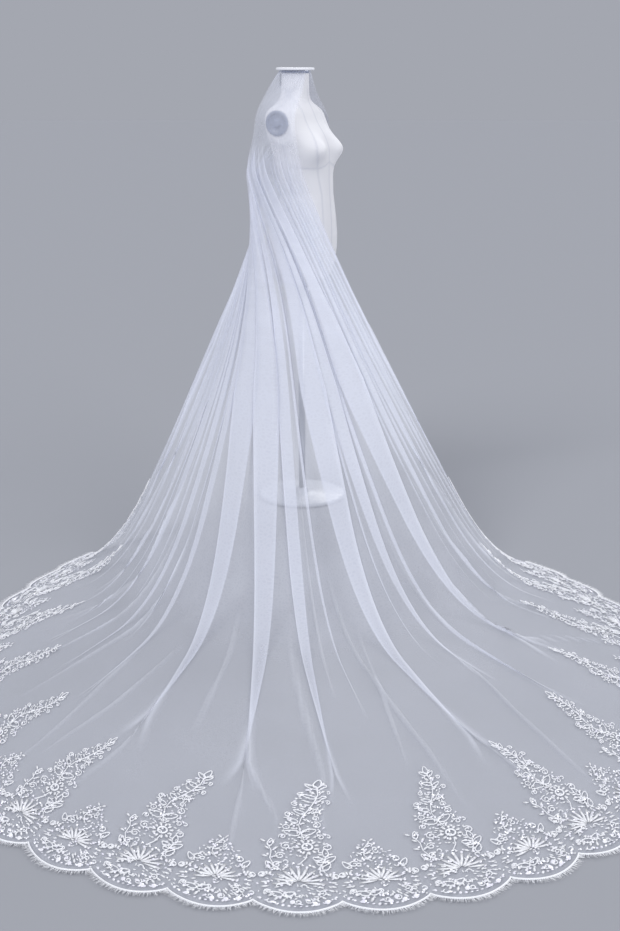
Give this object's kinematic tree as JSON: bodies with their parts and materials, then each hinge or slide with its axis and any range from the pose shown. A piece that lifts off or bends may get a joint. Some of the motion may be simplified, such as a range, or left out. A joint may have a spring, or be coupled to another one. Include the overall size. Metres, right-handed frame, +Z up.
{
  "type": "bridal veil on a dress form",
  "caption": "Long tulle bridal veil with a scalloped lace border, gathered at the top of a limbless dress form and spread over the floor as a rounded train",
  "frame": {"origin": "centre of the underside of the stand's round base, on the floor", "axes": "+Z up; the train spreads toward -Y; the form faces +X, turned 25 degrees toward -Y"},
  "size_m": [2.073, 2.8757, 1.5593],
  "materials": {
    "jersey": "fine matt jersey",
    "form_plastic": "satin",
    "stand_enamel": "light grey satin enamel",
    "stand_steel": "brushed",
    "tulle": "sheer soft net",
    "lace": "corded lace with a soft sheen",
    "satin": "satin",
    "comb_metal": "polished"
  },
  "bodies": {
    "root": {"form_torso": "jersey", "form_neck_cap": "form_plastic", "form_arm_plate_right": "form_plastic", "form_arm_plate_left": "form_plastic", "stand_base": "stand_enamel", "stand_pole": "stand_steel", "stand_collar": "stand_steel", "veil_over_shoulders": "tulle", "veil_fall": "tulle", "veil_train": "tulle", "veil_hem": "tulle", "lace_border": "lace", "hem_cord_eyelash": "lace", "gather_binding": "satin", "comb": "comb_metal"}
  },
  "joints": []
}
